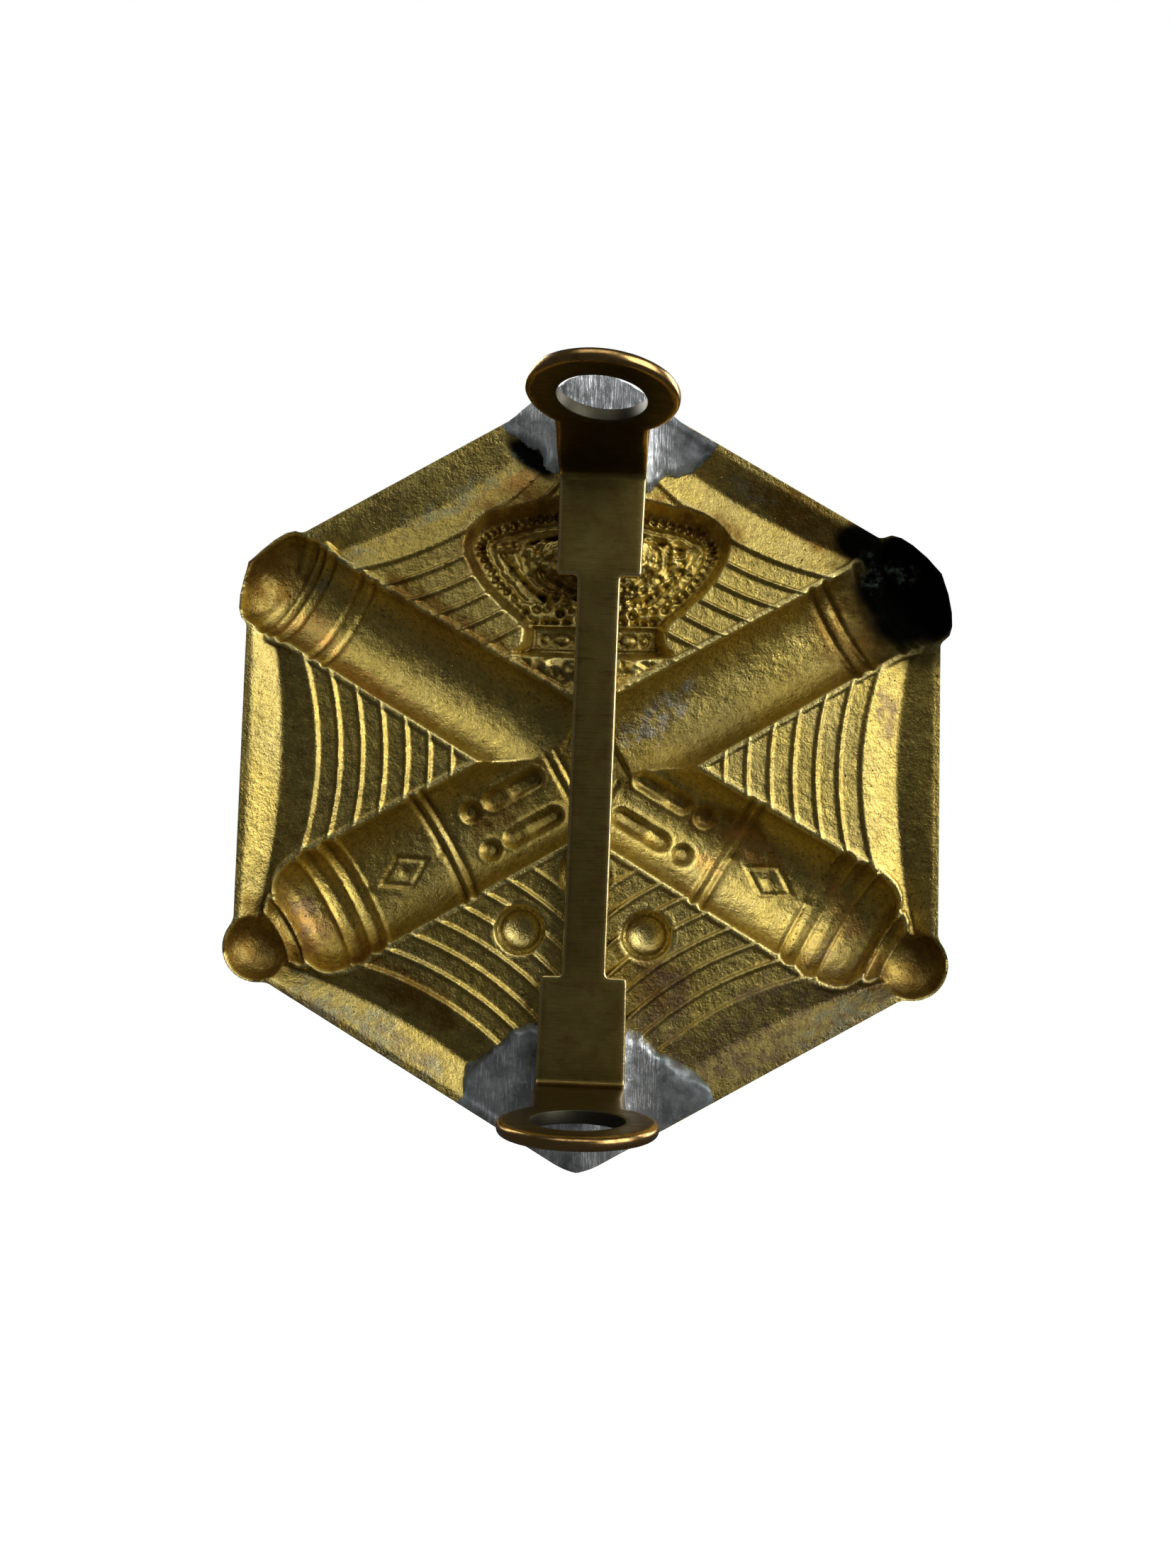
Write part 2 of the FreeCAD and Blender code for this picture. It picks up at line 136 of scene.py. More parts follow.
# Stains on the struck sheet, with painted shade among the brown blotches and a painted highlight in
# the polished cannonball bowls. Each blotch has a middle, a length, a width and a tilt, and each kind
# of stain may have a raggedness of its own instead of the usual one.
STAINS = {
    "black": [(21.2, 12.25, 5.2, 6.0, 30), (17.6, 14.8, 2.8, 1.4, -30), (-4.2, 20.4, 2.6, 0.9, -38)],
    "green": [(18.4, 13.2, 0.8, 1.6, 30), (20.4, 13.4, 1.4, 0.9, -40), (-4.9, 20.0, 2.0, 0.5, -38)],
    # brown: tarnish, and painted shade on the top-right rim slope, along the crown's upper wall, over the
    # crown left of the strap, on the under cannon's upper side and on the lower-left ramp
    "brown": [(13.0, 17.0, 5.0, 0.9, -30), (-5.2, 16.6, 3.2, 2.2, 20), (9.8, -3.9, 4.2, 1.5, -30),
              (-8.0, 9.0, 9.0, 0.9, -30), (17.4, 10.0, 2.8, 3.8, 30), (6.5, 16.2, 3.0, 1.3, -20),
              (-2.4, 12.8, 2.2, 1.8, 0), (14.4, 16.4, 4.6, 1.3, -30), (-20.9, -12.0, 2.8, 2.6, 0),
              (20.9, -12.0, 2.8, 2.6, 0), (-21.2, 12.6, 2.2, 2.6, -30), (-7.9, 14.2, 0.8, 2.6, 10),
              (-11.5, -14.2, 6.0, 1.5, -32), (5.0, -13.8, 3.0, 2.2, 0), (-6.2, -3.0, 2.6, 1.2, 30)],
    "orange": [(-18.5, 8.8, 2.6, 1.6, -30), (-17.6, -10.4, 1.6, 1.1, -50), (8.0, -5.9, 1.2, 0.7, -30),
               (-13.6, 4.8, 4.5, 0.6, -30), (-5.5, 18.6, 3.2, 0.8, 30), (11.0, -4.8, 3.0, 0.8, -30),
               (3.6, 17.5, 1.5, 1.0, 0), (17.0, -9.0, 2.4, 1.0, -60)],
    "purple": [(12.6, -16.4, 9.0, 3.8, 30), (5.5, -15.0, 2.6, 4.0, 0), (-15.0, -17.2, 7.0, 1.1, -30),
               (19.2, 4.2, 0.8, 2.6, 0), (-11.0, -18.3, 3.0, 1.0, -30),
               (-18.6, -10.0, 1.3, 2.6, 30)],
    "pale": [(-14.0, -16.8, 7.0, 1.3, -30), (-9.5, 17.3, 5.5, 1.0, 30), (-16.5, 13.2, 3.0, 0.9, 30),
             (16.5, -15.5, 4.0, 1.0, 30), (10.0, 18.6, 2.0, 0.6, -30)],
    # cannonball bowls: polished, and painted lighter as a highlight
    "polished_bowl_highlight": [(px, pz, 1.3, 1.3, 0) for px, pz in BALL_PLACES],
    "silver": [(3.6, 2.9, 1.7, 1.3, 40), (5.3, 4.4, 1.5, 0.9, 30), (6.6, 5.8, 0.8, 0.5, 30)],
}
RAGGEDNESS = {"black": 0.08, "polished_bowl_highlight": 0.0}
USUAL_RAGGEDNESS = 0.3

# Mesh: spacing of the grid, and the window over the crown where it is finer
FINE, COARSE, POOL_STEP = 0.08, 0.1, 0.13
GRID_REACH_X, GRID_REACH_Z = 23.8, 26.4
CROWN_WINDOW_X, CROWN_WINDOW_Z = (-9.2, 9.7), (6.6, 18.6)

# Camera: how it is turned, and its place from the badge's middle along its own right, up and back
CAMERA_TILT, CAMERA_TURN, CAMERA_ROLL = math.radians(-4.58), math.radians(-2.42), math.radians(-1.52)
CAMERA_PLACE = 0.09, -1.08, 100.2
SENSOR, LENS = 36, 35.8

FLOOR_REACH, FLOOR_GAP = 9, 0.0001  # metres


# Shaping functions, all on arrays


def ease(t):
    """0 to 1 with level ends."""
    t = np.clip(t, 0, 1)
    return t * t * (3 - 2 * t)


def smooth_max(a, b, blend):
    share = np.clip(0.5 + 0.5 * (a - b) / blend, 0, 1)
    return b * (1 - share) + a * share + blend * share * (1 - share)


def smooth_min(a, b, blend):
    return -smooth_max(-a, -b, blend)


def hump(distance, half_width):
    return np.exp(-((distance / half_width) ** 2))


def rough(x, z, size, seed):
    """Natural-looking roughness from about -1 to 1: smoothed random lattices of three sizes."""
    total = np.zeros_like(x)
    for octave in range(3):
        lattice = np.random.default_rng(seed + octave).uniform(-1, 1, (256, 256))
        across, up = x / size * 2**octave + 300, z / size * 2**octave + 300
        i, j = np.floor(across).astype(int), np.floor(up).astype(int)
        fi, fj = ease(across - i), ease(up - j)
        i, j, i1, j1 = i % 256, j % 256, (i + 1) % 256, (j + 1) % 256
        low = lattice[i, j] * (1 - fi) + lattice[i1, j] * fi
        high = lattice[i, j1] * (1 - fi) + lattice[i1, j1] * fi
        total += (low * (1 - fj) + high * fj) / 1.7**octave
    return total


def pebbles(x, z, size, seed):
    """Distance to the nearest of a scatter of points, one in each cell of this size."""
    spots = np.random.default_rng(seed).uniform(0.15, 0.85, (64, 64, 2))
    i, j = np.floor(x / size).astype(int), np.floor(z / size).astype(int)
    best = np.full(x.shape, 9.0)
    for di in (-1, 0, 1):
        for dj in (-1, 0, 1):
            spot = spots[(i + di) % 64, (j + dj) % 64]
            away = np.hypot((i + di + spot[..., 0]) * size - x, (j + dj + spot[..., 1]) * size - z)
            best = np.minimum(best, away)
    return best


def loop_distance(x, z, loop):
    """Signed distance to a closed outline, positive inside, and the length along it there."""
    points = np.array(loop, float)
    ends = np.roll(points, -1, axis=0)
    lengths = np.hypot(*(ends - points).T)
    starts = np.concatenate([[0], np.cumsum(lengths)[:-1]])
    best = np.full(x.shape, 1e9)
    along = np.zeros(x.shape)
    inside = np.zeros(x.shape, bool)
    for (ax, az), (bx, bz), length, start in zip(points, ends, lengths, starts):
        dx, dz = bx - ax, bz - az
        share = np.clip(((x - ax) * dx + (z - az) * dz) / length**2, 0, 1)
        away = np.hypot(x - ax - share * dx, z - az - share * dz)
        nearer = away < best
        best = np.where(nearer, away, best)
        along = np.where(nearer, start + share * length, along)
        crosses = (az > z) != (bz > z)
        slope = dx / dz if dz else 0.0
        inside ^= crosses & (x < ax + (z - az) * slope)
    return np.where(inside, best, -best), along


def rounded_loop(points, steps):
    """A closed Catmull-Rom curve through these points."""
    made = []
    count = len(points)
    p = np.array(points, float)
    for i in range(count):
        a, b, c, d = p[i - 1], p[i], p[(i + 1) % count], p[(i + 2) % count]
        for t in np.arange(steps) / steps:
            made.append(0.5 * (2 * b + (c - a) * t + (2 * a - 5 * b + 4 * c - d) * t**2
                               + (3 * b - a - 3 * c + d) * t**3))
    return made


# Star field


def sector(x, z):
    """Distance out along the nearest side's normal, and distance along that side."""
    turn = np.round(np.arctan2(z, x) / (math.pi / 3)) * (math.pi / 3)
    out = x * np.cos(turn) + z * np.sin(turn)
    along = -x * np.sin(turn) + z * np.cos(turn)
    return out, along


def star_field(x, z, ribs):
    out, along = sector(x, z)
    valley = VALLEY_MIDDLE + along**2 / (2 * VALLEY_BOW)
    crest = RIB_MIDDLE + along**2 / (2 * RIB_BOW)
    land_end = HALF_FLATS - RIM_LAND
    band = VALLEY_DEPTH * (land_end - out) / (land_end - valley)
    rise = (out - crest) / np.maximum(valley - crest, 0.2)
    ramp = RIB_DEPTH + (VALLEY_DEPTH - RIB_DEPTH) * rise
    depth = np.maximum(smooth_min(band, ramp, 0.14), 0)
    depth = depth + RIM_GROOVE * hump(HALF_FLATS - out - 0.27, 0.11)
    inward = crest - out
    plateau = RIB_DEPTH + RIB_HEIGHT * 0.75
    depth = np.where(inward > 0, plateau, depth)
    if ribs:
        past = np.mod(inward, RIB_PITCH)
        left = RIB_PITCH - past
        height = RIB_HEIGHT * (1 - 0.35 * past / RIB_PITCH)
        ridge = RIB_DEPTH + height * ease(past / 0.26) * ease(left / 0.22)
        fade = ease((out - RIB_LAST + 2) / 1.5)
        field = plateau + (ridge - plateau) * fade
        depth = np.where(inward > 0, field, depth)
    return depth


# Cannon


def cannon_axes(x, z, side):
    """Distance along the bore, breech side negative, and across it, for side 1 or -1."""
    along = side * x * math.cos(CANNON_ANGLE) + z * math.sin(CANNON_ANGLE)
    across = -side * x * math.sin(CANNON_ANGLE) + z * math.cos(CANNON_ANGLE)
    return along, across


def capsule(along, across, start, end, offset, half_width):
    """Distance inside a round-ended slot that runs along the bore."""
    nearest = np.clip(along, start + half_width, end - half_width)
    return half_width - np.hypot(along - nearest, across - offset)


def barrel_half(along, side):
    """Half width of a barrel at a place along it, negative beyond its ends."""
    stations = np.array(CANNON_STATIONS)
    half = np.interp(along, stations[:, 0], stations[:, 1], left=-9, right=-9)
    return half - MUZZLE_TRIM[side] * ease(along - TRIM_START)


def cannon(x, z, side, fullness, ornaments):
    along, across = cannon_axes(x, z, side)
    half = np.maximum(barrel_half(along, side), 0)
    if ornaments:
        for place, height, width in CANNON_RINGS:
            half = half + height * hump(along - place, width) * (half > 0.5)
    room = np.clip(1 - (across / np.maximum(half, 0.01)) ** 2, 0, 1)
    depth = fullness * half * np.sqrt(room)
    loop = cannon_loop(side)
    mouth = (along > MUZZLE_START) & (room > 0)
    gap = loop_distance(x[mouth], z[mouth], loop)[0]
    flank = np.clip(1 - gap / MUZZLE_ROUND, 0, 1)
    depth[mouth] = np.minimum(depth[mouth], fullness * MUZZLE_ROUND * np.sqrt(1 - flank**2))
    knob = KNOB_RADIUS**2 - (along - KNOB_PLACE) ** 2 - across**2
    depth = np.maximum(depth, 1.08 * fullness * np.sqrt(np.maximum(knob, 0)))
    if ornaments:
        depth = depth + cannon_ornaments(along, across)
    return depth


def cannon_gap(x, z, side):
    """Distance inside a cannon's edge, negative beside it."""
    along, across = cannon_axes(x, z, side)
    return barrel_half(along, side) - np.abs(across)


def cannon_ornaments(along, across):
    """Two lifting handles and a plain lozenge, struck into the barrel."""
    total = np.zeros_like(along)
    for offset in HANDLE_OFFSETS:
        handle = capsule(along, across, HANDLE_START, HANDLE_END, offset, 0.72)
        total += 0.3 * ease(handle / 0.5) - 0.06 * hump(handle + 0.08, 0.12)
        total += 0.12 * hump(along + 4.0, 0.8) * ease(handle / 0.5)
        total -= 0.1 * hump(along + 5.4, 0.35) * ease(handle / 0.4)
        bump = np.hypot(along - HANDLE_BUMP, across - offset)
        total += 0.34 * ease((0.78 - bump) / 0.5) - 0.05 * hump(bump - 0.85, 0.12)
    reach = np.abs(along - LOZENGE_PLACE) / 2.1 + np.abs(across) / 1.35
    total += 0.13 * ease((1 - reach) / 0.16)
    total -= 0.12 * ease((0.74 - reach) / 0.14)
    total += 0.14 * hump(np.hypot(along - LOZENGE_PLACE, across), 0.4)
    for end in (-1, 1):
        total += 0.14 * hump(np.hypot(along - LOZENGE_PLACE - end * 2.75, across), 0.26)
    return total


# Crown


def crown_loop():
    right = [(CROWN_PLACE + px, pz) for px, pz in CROWN_OUTLINE]
    left = [(CROWN_PLACE - px, pz) for px, pz in reversed(CROWN_OUTLINE[:-1])]
    return rounded_loop(right + left, 5)


def crown(x, z, ornaments):
    inside, along = loop_distance(x, z, crown_loop())
    depth = 0.3 + (CROWN_FLOOR - 0.3) * ease((inside + 0.3) / 1.15)
    depth = np.where(inside < -0.3, 0, depth)
    if ornaments:
        detail = crown_ornaments(x - CROWN_PLACE, z, inside, along)
        depth = depth + np.where(inside > 0.2, detail, 0)
    return depth


def beads(along, offset, pitch, radius):
    """A row of round beads along a line, each this far off it."""
    nearest = np.mod(along, pitch) - pitch / 2
    return np.sqrt(np.maximum(radius**2 - nearest**2 - offset**2, 0)) / radius


def crown_ornaments(x, z, inside, along):
    """Two beaded arches each side, a heap of small leaves, and a head band with jewels."""
    arches = ease((z - 10.0 - 0.16 * np.abs(x)) / 0.5)
    shiver = 0.09 * rough(x, z, 0.8, 31)
    worn = 0.75 + 0.25 * rough(x, z, 1.0, 37)
    outer = 0.4 * worn * beads(along, inside - 1.12 + shiver, 0.62, 0.29)
    band = ease((inside - 1.42 + shiver) / 0.2) * ease((2.5 - inside + 2 * shiver) / 0.25)
    outer += 0.3 * band - 0.16 * band * hump(inside - 1.95 + 2 * shiver, 0.15)
    outer -= 0.26 * ease((inside - 2.45) / 0.25)
    oval = np.hypot(x / ARCH_STRETCH, z - ARCH_MIDDLE) - 2.55 + 1.5 * shiver
    oval_along = np.arctan2(z - ARCH_MIDDLE, x / ARCH_STRETCH) * 3.6
    arch = ease((0.5 - np.abs(oval)) / 0.2)
    inner = 0.4 * arch * worn - 0.2 * arch * hump(oval, 0.13)
    inner += 0.36 * worn * beads(oval_along, oval - 0.8, 0.6, 0.25)
    inner -= 0.14 * ease(-(oval + 0.6) / 0.2)
    lining = ease((inside - 2.2) / 0.2)
    total = arches * (outer + lining * (inner + 0.09 * rough(x, z, 0.5, 41)))
    heap = ease((z - 9.5) / 0.15) * (1 - arches) + 0.6 * hump(z - 11.4, 0.7) * lining
    leaf = pebbles(x, z, 0.72, 8)
    total += heap * ease((inside - 0.75) / 0.3) * (0.45 * ease((0.44 - leaf) / 0.32) - 0.16)
    head = ease((z - HEAD_LOW) / 0.12) * ease((HEAD_HIGH - z) / 0.12) * ease((inside - 0.62) / 0.12)
    total += 0.16 * head
    grooves = hump(z - HEAD_LOW + 0.02, 0.13) + hump(z - HEAD_HIGH - 0.02, 0.13)
    total -= 0.2 * grooves * ease((inside - 0.5) / 0.2)
    for place in (-3.25, -1.1, 1.1, 3.25):
        jewel = np.hypot(x - place, z - JEWEL_ROW)
        total += (0.15 * hump(jewel - 0.3, 0.1) - 0.08 * hump(jewel, 0.12)) * head
    for place in (-2.17, 0.0, 2.17):
        ring = np.hypot((x - place) / 1.7, z - JEWEL_ROW)
        total += 0.17 * hump(ring - 0.33, 0.09) * head
    return total


# Cannonballs


def cannonball(x, z, place):
    away = np.hypot(x - place[0], z - place[1])
    ledge = 0.4 + 0.7 * ease((BALL_RADIUS - away) / 0.36)
    bowl = 0.9 * np.sqrt(np.clip(1 - (away / BOWL_RADIUS) ** 2, 0, 1))
    return np.where(away < BALL_RADIUS, ledge + bowl, 0)


# The whole relief


def where_near(near, shape, x, z, beyond):
    """The shape's values at points near it, and a fixed value beyond."""
    values = np.full(x.shape, float(beyond))
    values[near] = shape(x[near], z[near])
    return values


def relief(x, z, ornaments):
    """Depth of the sheet's back surface."""
    depth = star_field(x, z, ornaments)
    if ornaments:
        # uneven ground between the crown's foot and the crossing
        patch = ease((7.4 - z) / 0.4) * ease((z - 1.5) / 1.5) * ease((5.2 - np.abs(x)) / 1.5)
        depth = depth + patch * (0.16 * rough(x, z, 0.95, 3) - 0.05)
        depth = depth + 0.012 * rough(x, z, 0.8, 9) * ease(depth / 0.2)
        for place in BALL_PLACES:
            away = np.hypot(x - place[0], z - place[1])
            depth = depth - 0.03 * hump(away - 1.9, 0.13)
    near = (np.abs(x - CROWN_PLACE) < 9.6) & (z > 6.4) & (z < 18.9)
    head = where_near(near, lambda px, pz: crown(px, pz, ornaments), x, z, 0)
    depth = np.where(head > 0, smooth_max(depth, head, 0.12), depth)
    for place in BALL_PLACES:
        depth = np.maximum(depth, cannonball(x, z, place))
    over = cannon(x, z, 1, OVER_FULLNESS, ornaments)
    under = cannon(x, z, -1, UNDER_FULLNESS, ornaments)
    if ornaments:
        beside = np.maximum(cannon_gap(x, z, 1), cannon_gap(x, z, -1))
        lip = np.minimum(depth, RIB_DEPTH + 0.08)
        depth = depth + (lip - depth) * ease((beside + LIP) / 0.15)
    barrels = smooth_max(over, under, 0.08)
    if ornaments:
        barrels = barrels + (0.02 * rough(x, z, 1.6, 13) + 0.012 * rough(x, z, 0.5, 17)) * ease(barrels)
    depth = np.where(barrels > 0, smooth_max(depth, barrels, 0.22), depth)
    return depth


def cannon_loop(side):
    """Outline of one barrel at the rim's plane."""
    places = np.array([u for u, _ in CANNON_STATIONS[:-1]])
    halves = np.maximum(barrel_half(places, side), 0.01)
    lower = list(zip(places, -halves))
    upper = list(zip(places[::-1], halves[::-1]))
    return [(side * (u * math.cos(CANNON_ANGLE) - v * math.sin(CANNON_ANGLE)),
             u * math.sin(CANNON_ANGLE) + v * math.cos(CANNON_ANGLE)) for u, v in lower + upper]


def sheet_inside(x, z):
    """Signed distance inside the sheet's outline, which swells round the cannon's ends."""
    out, _ = sector(x, z)
    inside = smooth_min(HALF_FLATS - out, TIP_REACH - np.abs(z), 0.7)
    near = inside < 2
    for side in (1, -1):
        loop = cannon_loop(side)
        swell = where_near(near, lambda px, pz: loop_distance(px, pz, loop)[0], x, z, -9)
        inside = smooth_max(inside, swell + EDGE, 0.25)
        along, across = cannon_axes(x, z, side)
        knob = KNOB_RADIUS + EDGE - np.hypot(along - KNOB_PLACE, across)
        inside = smooth_max(inside, knob, 0.3)
    return inside


class Ground:
    """The relief on an even grid, for what depends on the surface around a point."""

    STEP = 0.1
    REACH = 24.0, 27.0

    def __init__(self):
        self.xs = np.arange(-self.REACH[0], self.REACH[0] + self.STEP / 2, self.STEP)
        self.zs = np.arange(-self.REACH[1], self.REACH[1] + self.STEP / 2, self.STEP)
        x, z = np.meshgrid(self.xs, self.zs, indexing="ij")
        plain = np.where(sheet_inside(x, z) > -0.05, relief(x, z, False), -9)
        steps = int(WALL / self.STEP)
        grown = np.full(plain.shape, WALL)
        for i in range(-steps, steps + 1):
            for j in range(-steps, steps + 1):
                room = WALL**2 - (i * i + j * j) * self.STEP**2
                if room > 0:
                    grown = np.maximum(grown, np.roll(plain, (i, j), (0, 1)) + math.sqrt(room))
        self.front = grown
        depth = relief(x, z, True)
        # how far each point lies deeper than its surroundings; the brass is darkened there with dirt and
        # painted shade, and lightened on raised places with wear and a painted highlight
        self.hollow = (depth - self.blurred(depth, 3)) * 1.1 + (depth - self.blurred(depth, 7)) * 0.9

    def blurred(self, values, reach):
        """Average over a square of this many steps each way, twice."""
        for axis in (0, 1, 0, 1):
            shifts = range(-reach, reach + 1)
            values = sum(np.roll(values, shift, axis) for shift in shifts) / len(shifts)
        return values

    def sample(self, values, x, z):
        i = np.clip((x - self.xs[0]) / self.STEP, 0, len(self.xs) - 1.001)
        j = np.clip((z - self.zs[0]) / self.STEP, 0, len(self.zs) - 1.001)
        i0, j0 = i.astype(int), j.astype(int)
        fi, fj = i - i0, j - j0
        low = values[i0, j0] * (1 - fi) + values[i0 + 1, j0] * fi
        high = values[i0, j0 + 1] * (1 - fi) + values[i0 + 1, j0 + 1] * fi
        return low * (1 - fj) + high * fj


# Meshing


def graded_lines(reach, window):
    """Grid lines across the badge, closer together inside the window."""
    spans = [(-reach, window[0], COARSE), (*window, FINE), (window[1], reach + COARSE, COARSE)]
    return np.concatenate([np.linspace(start, end, round((end - start) / step), endpoint=False)
                           for start, end, step in spans])


def fitted_grid(xs, zs, inside):
    """Grid points moved onto an outline where they are next to it, and the cells kept."""
    x, z = np.meshgrid(xs, zs, indexing="ij")
    dx = np.gradient(xs)[:, None] * np.ones_like(x)
    dz = np.gradient(zs)[None, :] * np.ones_like(x)
    tolerance = 0.51 * np.hypot(dx, dz)
    gap = inside(x, z)
    near = np.abs(gap) < tolerance
    nx, nz, nudge = x[near], z[near], 0.02
    for _ in range(3):
        here = inside(nx, nz)
        slope_x = (inside(nx + nudge, nz) - inside(nx - nudge, nz)) / (2 * nudge)
        slope_z = (inside(nx, nz + nudge) - inside(nx, nz - nudge)) / (2 * nudge)
        steep = np.maximum(slope_x**2 + slope_z**2, 0.2)
        nx, nz = nx - here * slope_x / steep, nz - here * slope_z / steep
    x[near], z[near] = nx, nz
    kept = (gap > 0) | near
    whole = kept[:-1, :-1] & kept[1:, :-1] & kept[1:, 1:] & kept[:-1, 1:]
    middle_x = (x[:-1, :-1] + x[1:, :-1] + x[1:, 1:] + x[:-1, 1:]) / 4
    middle_z = (z[:-1, :-1] + z[1:, :-1] + z[1:, 1:] + z[:-1, 1:]) / 4
    whole &= inside(middle_x, middle_z) > 0.005
    index = np.arange(x.size).reshape(x.shape)
    quads = np.stack([index[:-1, :-1], index[1:, :-1], index[1:, 1:], index[:-1, 1:]], -1)[whole]
    used, renumbered = np.unique(quads, return_inverse=True)
    return x.ravel()[used], z.ravel()[used], renumbered.reshape(quads.shape)


def outline_edges(quads):
    """Directed edges that belong to only one cell."""
    edges = np.concatenate([quads[:, [i, (i + 1) % 4]] for i in range(4)])
    keys = np.sort(edges, axis=1)
    _, first, count = np.unique(keys, axis=0, return_index=True, return_counts=True)
    return edges[first[count == 1]]


def two_sided(name, x, z, back, front, quads):
    """Closed mesh between a back and a front depth over the same cells."""
    count = len(x)
    points = np.concatenate([np.stack([x, back, z], 1), np.stack([x, front, z], 1)])
    edges = outline_edges(quads)
    walls = np.stack([edges[:, 1], edges[:, 0], edges[:, 0] + count, edges[:, 1] + count], 1)
    faces = np.concatenate([quads, quads[:, ::-1] + count, walls])
    mesh = bpy.data.meshes.new(name)
    mesh.from_pydata((points * MM).tolist(), [], faces.tolist())
    mesh.update()
    mesh.shade_smooth()
    mesh.set_sharp_from_angle(angle=math.radians(72))
    piece = bpy.data.objects.new(name, mesh)
    bpy.context.scene.collection.objects.link(piece)
    return piece


def vertex_values(piece, name, values):
    layer = piece.data.attributes.new(name, "FLOAT", "POINT")
    layer.data.foreach_set("value", np.asarray(values, np.float32))


def patches(x, z, places, raggedness):
    """Soft-edged blotches: each has a middle, a length, a width and a tilt in degrees."""
    total = np.zeros_like(x)
    ragged = raggedness * rough(x, z, 1.8, 51)
    for px, pz, length, width, tilt in places:
        turn = math.radians(tilt)
        along = ((x - px) * math.cos(turn) + (z - pz) * math.sin(turn)) / length
        across = (-(x - px) * math.sin(turn) + (z - pz) * math.cos(turn)) / width
        total = np.maximum(total, ease((1.15 + ragged - np.hypot(along, across)) / 0.6))
    return total


def struck_badge():
    xs = graded_lines(GRID_REACH_X, CROWN_WINDOW_X)
    zs = graded_lines(GRID_REACH_Z, CROWN_WINDOW_Z)
    x, z, quads = fitted_grid(xs, zs, sheet_inside)
    ground = Ground()
    back = relief(x, z, True)
    front = ground.sample(ground.front, x, z) + back - relief(x, z, False)
    front = np.maximum(front, back + LEAST_WALL)
    piece = two_sided("struck_badge", x, z, back, front, quads)
    hollow = ground.sample(ground.hollow, x, z)
    vertex_values(piece, "hollow", np.concatenate([hollow, -hollow]))
    for name, places in STAINS.items():
        stain = patches(x, z, places, RAGGEDNESS.get(name, USUAL_RAGGEDNESS))
        vertex_values(piece, name, np.concatenate([stain, 0.4 * stain]))
    return piece


# Strap


class Ear:
    """One bent end of the strap. Distances run outward along the strap's middle thickness."""

    MIDDLE_RADIUS = BEND_RADIUS + GAUGE / 2

    def __init__(self, name, side, bend, splay):
        self.side = side
        self.turn = math.pi / 2 - splay
        tangent = BEND_RADIUS * math.tan(self.turn / 2)
        self.start = side * bend - tangent
        self.end = self.start + self.MIDDLE_RADIUS * self.turn
        self.hole = self.end + EAR_HEIGHT - tangent
        self.twist, self.shift = EAR_TWIST[name], EAR_SHIFT[name]

    def bent(self, across, outward, level):
        """Where a point of the flat pattern lies once the end is bent back."""
        turned = np.clip((outward - self.start) / self.MIDDLE_RADIUS, 0, self.turn)
        beyond = np.maximum(outward - self.end, 0)
        roll = self.twist * ease(beyond / TWIST_LENGTH)
        x = across * np.cos(roll) - level * np.sin(roll)
        x = x + self.shift * (beyond / (self.hole - self.end)) ** 1.3
        radius = self.MIDDLE_RADIUS + level * np.cos(roll) + across * np.sin(roll)
        y = radius * np.cos(turned) - beyond * np.sin(turned) - GAUGE - BEND_RADIUS
        z = radius * np.sin(turned) + beyond * np.cos(turned) + np.minimum(outward, self.start)
        return x, y, self.side * z

    def near_bend(self, along):
        outward = self.side * along
        return self.start - 0.3 < outward < self.end + 0.3


UPPER_EAR = Ear("upper", 1, UPPER_BEND, UPPER_SPLAY)
LOWER_EAR = Ear("lower", -1, LOWER_BEND, LOWER_SPLAY)


def arc(middle, radius, start, end):
    """Points of a circle about the strap's centre line, angles in degrees from across."""
    angles = np.radians(np.linspace(start, end, max(int(abs(end - start) / 4), 3)))
    return [(radius * math.cos(a), middle + radius * math.sin(a)) for a in angles]


def filleted(before, corner, after, radius):
    """A corner replaced by a short round."""
    corner = np.array(corner)
    ways = [np.array(end) - corner for end in (before, after)]
    start, end = (corner + radius * way / np.hypot(*way) for way in ways)
    return [tuple((1 - t) ** 2 * start + 2 * t * (1 - t) * corner + t**2 * end)
            for t in np.linspace(0, 1, 5)]


def strap_outline():
    """Flat pattern of the strap, anticlockwise from the foot of the lower loop."""
    reach = math.degrees(math.acos(PAD_HALF / LOOP_RADIUS))
    neck = LOOP_RADIUS * math.sin(math.radians(reach))
    lower, upper = -LOWER_EAR.hole, UPPER_EAR.hole
    corners = [(PAD_HALF, lower + neck), (PAD_HALF, LOWER_SHOULDER), (WAIST_HALF, LOWER_SHOULDER),
               (WAIST_HALF, UPPER_SHOULDER), (PAD_HALF, UPPER_SHOULDER), (PAD_HALF, upper - neck)]
    right = arc(lower, LOOP_RADIUS, -90, reach - 3)
    for before, corner, after in zip(corners, corners[1:], corners[2:]):
        right += filleted(before, corner, after, SHOULDER_ROUND)
    right += arc(upper, LOOP_RADIUS, 3 - reach, 90)
    left = [(-across, along) for across, along in reversed(right[1:-1])]
    return right + left


def stepped(loop):
    """The outline with points close enough together to bend."""
    made = []
    for start, end in zip(loop, loop[1:] + loop[:1]):
        start, end = np.array(start), np.array(end)
        place = start
        while np.hypot(*(end - place)) > 1e-6:
            made.append(place)
            close = UPPER_EAR.near_bend(place[1]) or LOWER_EAR.near_bend(place[1])
            step = 0.12 if close else 0.35
            left = end - place
            share = min(step / np.hypot(*left), 1)
            place = end if share > 0.7 else place + left * share
    return np.array(made)


